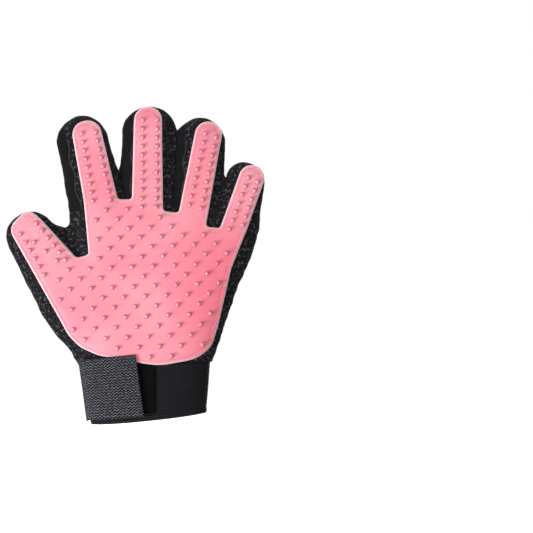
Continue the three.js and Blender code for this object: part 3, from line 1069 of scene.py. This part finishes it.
def stitch_mesh(a, b, width, lift):
    """One sewn stitch from a to b, as a low rounded bar."""
    a, b = np.array(a), np.array(b)
    run = (b - a) / np.linalg.norm(b - a)
    out = np.array([0.0, -1.0, 0.0])
    side = np.cross(run, out)
    points = []
    for t, size in ((0.0, 0.35), (0.15, 0.85), (0.5, 1.0), (0.85, 0.85), (1.0, 0.35)):
        centre = a + (b - a) * t
        sink = lift * (0.2 + 0.8 * math.sin(math.pi * t))
        for k in range(6):
            angle = 2 * math.pi * k / 6
            up = sink + math.sin(angle) * width * 0.7 * size
            points.append(centre + side * math.cos(angle) * width * size + out * up)
    faces = tube_faces(5, 6)
    faces.append(tuple(range(5, -1, -1)))
    faces.append(tuple(range(24, 30)))
    return points, faces


def merge(parts):
    points = []
    faces = []
    for p, f in parts:
        shift = len(points)
        points += [tuple(v) for v in p]
        faces += [tuple(i + shift for i in face) for face in f]
    return points, faces


def make_pads():
    outline, flat, faces = build_pad()
    edge = np.maximum(edge_distance(flat, outline), 0)
    y = pad_height(flat, edge)
    top = np.stack([flat[:, 0], y, flat[:, 1]], axis=1)
    normal = face_normals(top, faces)
    wrong = normal[:, 1] > 0
    faces[wrong] = faces[wrong][:, ::-1]
    normal[wrong] = -normal[wrong]
    vertex_normal = np.zeros_like(top)
    for k in range(3):
        np.add.at(vertex_normal, faces[:, k], normal)
    vertex_normal /= np.maximum(np.linalg.norm(vertex_normal, axis=1), 1e-9)[:, None]
    bottom = top.copy()
    bottom[:, 1] = 0.6 - np.minimum(front_depth(flat[:, 0], flat[:, 1]), -y)
    pairs = {(int(f[k]), int(f[(k + 1) % 3])): None for f in faces for k in range(3)}
    rim_pairs = [pair for pair in pairs if pair[::-1] not in pairs]
    region = digits_at(flat[faces].mean(axis=1))
    fixed = nub_places()
    spots = np.array(fixed + palm_nub_places(outline, fixed))
    heights = pad_height(spots, np.full(len(spots), 9.0))
    places = list(zip(spots, heights, digits_at(spots)))
    stitch_line = pad_stitch_line(outline)
    pieces = {}
    for name in ["palm", *DIGITS]:
        mine = faces[region == name]
        _, local, used = keep_used(top, mine)
        count = len(used)
        points = [*top[used], *bottom[used]]
        normals = [*vertex_normal[used], *[(0.0, 1.0, 0.0)] * count]
        # rim holds painted highlight: full within 0.7 mm of the pad's edge, gone by 1.2 mm.
        rim = [*np.clip((1.2 - edge[used]) / 0.5, 0, 1), *[0.0] * count]
        # root holds painted shade at each nub's root; the pad itself gets none.
        root = [0.0] * (2 * count)
        mesh_faces = [*local, *(local[:, ::-1] + count)]
        own = {(int(f[k]), int(f[(k + 1) % 3])) for f in mine for k in range(3)}
        for p, q in rim_pairs:
            if (p, q) not in own:
                continue
            base = len(points)
            points += [top[p], top[q], bottom[q], bottom[p]]
            mesh_faces.append((base, base + 3, base + 2, base + 1))
            run = top[q] - top[p]
            outward = np.array([run[2], 0, -run[0]])
            normals += [outward / max(np.linalg.norm(outward), 1e-9)] * 4
            # The side wall is painted as highlight all over.
            rim += [1.0] * 4
            root += [0.0] * 4
        for p, height, where in places:
            if where != name:
                continue
            shift = len(points)
            nub_points, nub_faces, nub_root = nub_mesh(p[0], p[1], height)
            points += nub_points
            # Painted shade towards each nub's root.
            root += nub_root
            # Painted highlight towards each nub's tip.
            rim += [0.3 * max(0.0, 1 - r * 1.6) for r in nub_root]
            mesh_faces += [tuple(i + shift for i in f) for f in nub_faces]
            normals += [(0.0, 0.0, 0.0)] * len(nub_points)
        obj = new_object(f"{name}_silicone_pad", points, mesh_faces, SILICONE)
        set_front_uv(obj, points)
        set_attribute(obj, "rim", rim)
        set_attribute(obj, "root", root)
        obj.data.normals_split_custom_set_from_vertices([tuple(n) for n in normals])
        pieces[name] = obj
        pieces[name + "_stitches"] = make_stitches(name, *stitch_line)
    return pieces


def face_normals(points, faces):
    a, b, c = (points[faces[:, k]] for k in range(3))
    return np.cross(b - a, c - a)


def pad_stitch_line(outline):
    """Points in the groove along the pad's edge, where they may be sewn, and the part they are on."""
    loop = resample(outline, 1.0)
    seam = loop + inward_from(loop) * 2.9
    good = edge_distance(seam, outline) > 2.6
    y = pad_height(seam, np.full(len(seam), 2.9))
    part = digits_at((seam + np.roll(seam, -2, axis=0)) / 2)
    return np.stack([seam[:, 0], y, seam[:, 1]], axis=1), good, part


def make_stitches(name, line, good, part):
    bars = []
    for i in range(0, len(line) - 3, 3):
        if good[i] and good[i + 2] and part[i] == name:
            bars.append(stitch_mesh(line[i], line[i + 2], 0.26, 0.18))
    points, faces = merge(bars)
    obj = new_object(f"{name}_pad_stitches", points, faces, PINK_THREAD)
    set_front_uv(obj, points)
    return obj

# ---------------------------------------------------------------- cuff, strap and patches

# Cuff rings: centre x, centre z, half width, half depth and tilt, at each share of its height.
CUFF = [
    (1.15, 4.45, 43.15, 15.5, 0.103), (-0.4, 25, 46.3, 16.0, 0.066), (-1.85, 45.6, 49.2, 16.5, 0.03),
]
CUFF_STOPS = [0.0, 0.5, 1.0]
CUFF_HEIGHT = 41.0


def cuff_point(t, angle, grow):
    """Points round the wrist at a share t of the cuff's height, grow mm outside its plain shape."""
    cx, cz, width, depth, tilt = (float(hermite(t, CUFF_STOPS, column)) for column in zip(*CUFF))
    c, s = np.cos(angle), np.sin(angle)
    side = (width + grow) * np.sign(c) * np.abs(c) ** (2 / 2.6)
    deep = (depth + grow) * np.sign(s) * np.abs(s) ** (2 / 2.6)
    sag = 1.4 * (1 - t) * (1 - c * c)
    return np.stack([cx + side, deep, cz + side * tilt - sag], axis=1)


def cuff_front(x, z, grow):
    """The front of the wrist at x, z, as y, in front of the cloth by grow."""
    t = np.clip((z - 4.45 - 0.06 * (x - 1)) / CUFF_HEIGHT, 0, 1)
    cx, _, width, depth, _ = (hermite(t, CUFF_STOPS, column) for column in zip(*CUFF))
    ratio = np.clip(np.abs(x - cx) / (width + grow), 0, 0.995)
    return -(depth + grow) * (1 - ratio ** 2.6) ** (1 / 2.6)


def even_angles(count):
    """Angles that space points evenly round the wrist, and the way round it in mm."""
    fine = np.linspace(0, 2 * math.pi, 2001)
    run = run_length(cuff_point(0.5, fine, 0))
    return np.interp(np.linspace(0, run[-1], count + 1)[:-1], run, fine), run[-1]


AROUND = 220
ANGLES, WRIST_LENGTH = even_angles(AROUND)


def wrist_tube(name, material, rings, rows_v, flip=False):
    """A tube round the wrist, from rings of points and each ring's place along the cloth in mm."""
    obj = new_object(name, np.concatenate(rings), tube_faces(len(rings), AROUND, flip), material)
    rows, columns = divmod(corner_points(obj.data).reshape(-1, 4), AROUND)
    wraps = np.ptp(columns, axis=1)[:, None] > 2
    lap = np.where(wraps & (columns < AROUND / 2), AROUND, 0)
    u = (columns + lap) / AROUND * WRIST_LENGTH
    set_corner_uv(obj, np.stack([u, np.asarray(rows_v)[rows]], axis=2) * MM)
    return obj


def make_elastic():
    """The cuff's ribbed elastic, with a plain inner face."""
    low = 0.07
    profile = []
    for i in range(113):
        v = CUFF_HEIGHT * (low + (1 - low) * i / 112)
        rib = 0.12 * math.sin(2 * math.pi * v / ELASTIC_RIB) - 0.12
        profile.append((v / CUFF_HEIGHT, rib))
    profile += [(1.0, -0.7), (1.0, -1.5), (0.7, -1.6), (0.4, -1.6), (low, -1.6), (low, -0.8)]
    rings = []
    for t, grow in profile:
        bulge = 0.25 * np.sin(ANGLES * 5 + 0.6) * math.sin(math.pi * t)
        rings.append(cuff_point(t, ANGLES, grow + bulge))
    return wrist_tube("elastic_cuff", ELASTIC, rings, [t * CUFF_HEIGHT for t, _ in profile])


def make_hem():
    """The folded edge round the wrist mouth."""
    outline = [(0.095, -0.25), (0.095, 0.1), (0.085, 0.24), (0.05, 0.28), (0.015, 0.2), (-0.005, -0.1),
               (-0.012, -0.6), (-0.005, -1.3), (0.015, -1.9), (0.05, -2.05), (0.10, -2.0), (0.11, -1.7)]
    turn = np.arange(AROUND) * 2 * math.pi / AROUND
    soft = 0.07 * np.sin(turn * 11) + 0.05 * np.sin(turn * 29)
    rings = [cuff_point(t, ANGLES, grow + soft) for t, grow in outline]
    return wrist_tube("cuff_hem_fold", ELASTIC, rings, np.arange(len(outline)) * 0.9, True)


def make_wrist_seam():
    """The covered seam where the glove is sewn to the elastic."""
    outline = [(0.985, -0.5), (0.99, 0.25), (1.01, 0.5), (1.035, 0.55), (1.055, 0.25), (1.06, -0.6)]
    rings = []
    for t, grow in outline:
        rings.append(cuff_point(1.0, ANGLES, grow) + (0, 0, (t - 1.0) * CUFF_HEIGHT))
    return wrist_tube("wrist_seam_fold", KNIT, rings, np.arange(len(outline)) * 0.9)


def plate(name, corners, low, high, material, nu, nv, wave_at=None):
    """A strip of nu by nv faces that follows the front of the wrist, from low to high in front of it.
    Its corners are top left, top right, bottom right and bottom left."""
    tl, tr, br, bl = (np.array(c, float) for c in corners)
    wide = np.linalg.norm(tr - tl)
    tall = np.linalg.norm(tl - bl)
    t, s = np.meshgrid(np.linspace(0, 1, nv + 1), np.linspace(0, 1, nu + 1), indexing="ij")
    s, t = s.ravel(), t.ravel()
    flat = (bl * (1 - s[:, None]) + br * s[:, None]) * (1 - t[:, None])
    flat = flat + (tl * (1 - s[:, None]) + tr * s[:, None]) * t[:, None]
    edge = np.minimum(np.minimum(s, 1 - s) * wide, np.minimum(t, 1 - t) * tall)
    rise = np.sqrt(1 - (1 - np.minimum(1, edge / 0.7)) ** 2)
    lift = wave_at(s, t) if wave_at else 0 * s
    top = low + (high - low) * (0.35 + 0.65 * rise) + lift
    if material == WEBBING:
        top = top + herringbone(s * wide, t * tall) * np.minimum(1, edge / 1.5)
    points = []
    for grow in (top, low + lift):
        y = cuff_front(flat[:, 0], flat[:, 1], grow)
        points.append(np.stack([flat[:, 0], y, flat[:, 1]], axis=1))
    count = len(s)
    grid = np.arange(count).reshape(nv + 1, nu + 1)
    quads = np.stack([grid[:-1, :-1], grid[:-1, 1:], grid[1:, 1:], grid[1:, :-1]], axis=2).reshape(-1, 4)
    rim = np.concatenate([grid[0], grid[1:, -1], grid[-1, -2::-1], grid[-2:0:-1, 0]])
    after = np.roll(rim, -1)
    sides = np.stack([after, rim, rim + count, after + count], axis=1)
    faces = np.concatenate([quads, quads[:, ::-1] + count, sides])
    obj = new_object(name, np.concatenate(points), faces, material)
    set_uv(obj, np.tile(np.stack([s * wide, t * tall], axis=1) * MM, (2, 1)))
    return obj


def strap_wave(s, t):
    """The strap lies a little uneven, lifting towards its free end."""
    return 0.35 * s ** 3 + 0.15 * np.sin(3.2 * s + 1.0) * np.sin(2.5 * t)


def herringbone(u, v):
    """Height of the woven ribs at u, v in mm: they slant up and down in turn, column by column."""
    column = WEAVE_COLUMN - np.abs(np.mod(u, 2 * WEAVE_COLUMN) - WEAVE_COLUMN)
    return 0.11 * np.sin((WEAVE_SLANT * column + v) * 2 * math.pi / WEAVE_PITCH)


def pile_wave(s, t):
    a = np.sin(s * 190.0) * np.sin(t * 143.0 + 1.7 * np.sin(s * 60))
    b = np.sin(s * 71.0 + 2.0 * np.sin(t * 33.0)) * np.sin(t * 57.0 + 0.8)
    return 0.13 * a + 0.12 * b


def make_hooks(patch_corners, grow):
    """Rows of little bent hooks on the back of the strap's end."""
    tl, tr, br, bl = (np.array(c, float) for c in patch_corners)
    columns, rows = 15, 22
    parts = []
    for j in range(rows):
        for i in range(columns):
            s, t = (i + 0.5) / columns, (j + 0.5) / rows
            x, z = (bl * (1 - s) + br * s) * (1 - t) + (tl * (1 - s) + tr * s) * t
            y = float(cuff_front(x, z, grow))
            lean = 0.25 if (i + j) % 2 else -0.25
            points = []
            for k, (dz, up) in enumerate(((0, 0), (0, 0.45), (lean, 0.68), (lean * 2, 0.5))):
                half = 0.17 - 0.03 * k
                for a, b in ((-1, -1), (1, -1), (1, 1), (-1, 1)):
                    points.append((x + a * half, y + up, z + dz + b * half))
            faces = [(a, d, c, b) for a, b, c, d in tube_faces(4, 4)]
            parts.append((points, faces + [(12, 13, 14, 15), (3, 2, 1, 0)]))
    points, faces = merge(parts)
    obj = new_object("strap_hooks", points, faces, HOOKS)
    set_front_uv(obj, points)
    return obj


def ribbon_tube(name, path, radius, material, sides=6):
    """A rounded cord sewn along a path of points."""
    points = []
    count = len(path)
    for i in range(count):
        run = path[min(i + 1, count - 1)] - path[max(i - 1, 0)]
        run = run / max(np.linalg.norm(run), 1e-9)
        across = np.cross(run, (0.0, 1.0, 0.0))
        across = across / max(np.linalg.norm(across), 1e-9)
        out = np.cross(across, run)
        size = radius * min(1.0, (i + 0.6) / 3, (count - i - 0.4) / 3) * (1 + 0.16 * (i % 2))
        for k in range(sides):
            angle = 2 * math.pi * k / sides
            points.append(path[i] + (across * math.cos(angle) + out * math.sin(angle)) * size)
    faces = tube_faces(count, sides)
    faces.append(tuple(range(sides - 1, -1, -1)))
    faces.append(tuple(range((count - 1) * sides, count * sides)))
    obj = new_object(name, points, faces, material)
    set_front_uv(obj, points)
    return obj


def outer_seam(name, label, end):
    """The sewn line between knit and mesh on a finger's front, from 20 mm along it to its end."""
    _, _, length, stops, drift = axes(name)
    along = np.linspace(20, end, int((end - 20) / 1.5) + 1)
    width = hermite(along, stops, [r[2] for r in SLEEVES[name]])
    over = np.maximum(0, along - length) / width
    share = knit_edge(along) * np.sqrt(np.maximum(0.02, 1 - over ** 2))
    x, z = on_sleeve(name, along, hermite(along, stops, drift) + width * share).T
    good = beyond(name, x, z) > 0.2
    x, z = x[good], z[good]
    return ribbon_tube(label, np.stack([x, -cloth_depth(x, z), z], axis=1), 0.42, BLACK_THREAD)


def lay_on(points, function, lift=0.12, rounds=6):
    """Move points onto a surface, and a little out of it."""
    points = true_surface(points, function, rounds)
    slope = gradient(function, points)
    return points + slope / np.maximum(np.linalg.norm(slope, axis=1), 1e-6)[:, None] * lift


def side_outline(name):
    """Points x, z up one side of a digit, round its tip and down the other side."""
    _, _, length, stops, drift = axes(name)
    widths = [r[2] for r in SLEEVES[name]]
    run = np.arange(5, length, 1.5)
    tip = np.radians(np.arange(0, 181, 5))
    end = float(hermite(length, stops, widths))
    along = np.concatenate([run, length + end * np.sin(tip), run[::-1]])
    side = np.concatenate([-np.ones(len(run)), -np.cos(tip), np.ones(len(run))])
    return on_sleeve(name, along, hermite(along, stops, drift) + hermite(along, stops, widths) * side)


def seam_tube(label, flat, y, function):
    points = np.stack([flat[:, 0], np.full(len(flat), y), flat[:, 1]], axis=1)
    return ribbon_tube(label, lay_on(points, function), 0.5, BLACK_THREAD)


def digit_seams(name, y, label):
    """The seam of one panel round a digit, from its root over its tip and back."""
    flat = side_outline(name)
    good = in_digit(name, *flat.T) | (beyond(name, *flat.T) > 12)
    first = int(np.argmax(good))
    last = len(good) - int(np.argmax(good[::-1]))
    return seam_tube(label, flat[first:last], y, own_lane(name))


# Rough lines down the two sides of the palm; each is laid onto the cloth.
LITTLE_SIDE = [(47.2, 48), (52.8, 60), (59.8, 80), (66.6, 100), (72.8, 120), (77.4, 136), (80.3, 143)]
THUMB_SIDE = [(-50.9, 47), (-54.5, 56), (-59.5, 64.5), (-67, 76.5), (-75.5, 89.5), (-85.2, 104.6)]
# The side panels end this far behind and in front of the middle plane.
PANEL_EDGES = ((4.6, "back"), (-4.6, "front"))


def palm_seam(side, y, label):
    rough = np.array(side, float)
    run = run_length(rough)
    at = np.arange(0, run[-1], 1.5)
    flat = np.stack([np.interp(at, run, rough[:, k]) for k in (0, 1)], axis=1)
    return seam_tube(label, flat, y, body_value)


# ---------------------------------------------------------------- put it together


def attach(piece, name):
    if name == "palm":
        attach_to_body(piece, "palm")
    else:
        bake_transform(piece)


sleeves = build_sleeves()
pads = make_pads()
for name in ["palm", *DIGITS]:
    attach(sleeves[name], name)
    attach(pads[name], name)
    attach(pads[name + "_stitches"], name)
    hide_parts(f"{name}_pad")
    nodes = [f"{name}_front_fabric", f"{name}_back_mesh"]
    if name != "palm":
        nodes += [f"{name}_left_gusset", f"{name}_right_gusset"]
    else:
        nodes += ["heel_gusset", "index_base_gusset", "index_middle_web", "outer_side_gusset"]
    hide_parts(*nodes)

for name in KNIT_FINGERS:
    seam = outer_seam(name, f"{name}_outer_seam", 84 if name == "middle" else 80)
    attach(seam, name)

for name in DIGITS:
    for y, where in PANEL_EDGES:
        seam = digit_seams(name, y, f"{name}_{where}_panel_seam")
        attach(seam, name)
for side, where in ((LITTLE_SIDE, "little"), (THUMB_SIDE, "thumb")):
    for y, face in PANEL_EDGES:
        seam = palm_seam(side, y, f"palm_{where}_{face}_seam")
        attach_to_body(seam, "palm")

elastic = make_elastic()
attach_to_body(elastic, "palm")
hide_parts("cuff_elastic")
hem = make_hem()
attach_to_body(hem, "palm")
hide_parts("cuff_hem")
wrist_seam = make_wrist_seam()
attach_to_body(wrist_seam, "palm")

LOOP_CORNERS = [(-46.4, 43.2), (6.4, 45.0), (6.4, 9.2), (-42.4, 4.6)]
loop = plate("loop_pile_patch", LOOP_CORNERS, 0.1, 1.35, PILE, 150, 110, pile_wave)
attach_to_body(loop, "palm")
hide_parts("loop_patch")
HOOK_CORNERS = [(-28, 42.6), (-9.2, 43.4), (-5.2, 10.5), (-24, 9.5)]
backing = plate("strap_hook_backing", HOOK_CORNERS, 2.35, 2.95, HOOKS, 12, 18)
hooks = make_hooks(HOOK_CORNERS, 2.4)
for piece in (backing, hooks):
    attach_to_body(piece, "strap")
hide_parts("strap_hook_patch")
STRAP_CORNERS = [(-47.8, 48.9), (-8.0, 52.8), (-1.7, 6.6), (-43.2, 3.6)]
strap = plate("strap_band", STRAP_CORNERS, 3.0, 4.4, WEBBING, 110, 130, strap_wave)
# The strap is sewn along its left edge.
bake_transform(strap)
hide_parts("strap_webbing")
TAPE_CORNERS = [(-51.6, 48.2), (-46.4, 49.0), (-41.8, 3.7), (-45.6, 2.2)]
tape = plate("strap_sewn_tape", TAPE_CORNERS, 0.5, 2.7, WEBBING, 14, 120)
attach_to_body(tape, "palm")
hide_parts("strap_seam_tape")
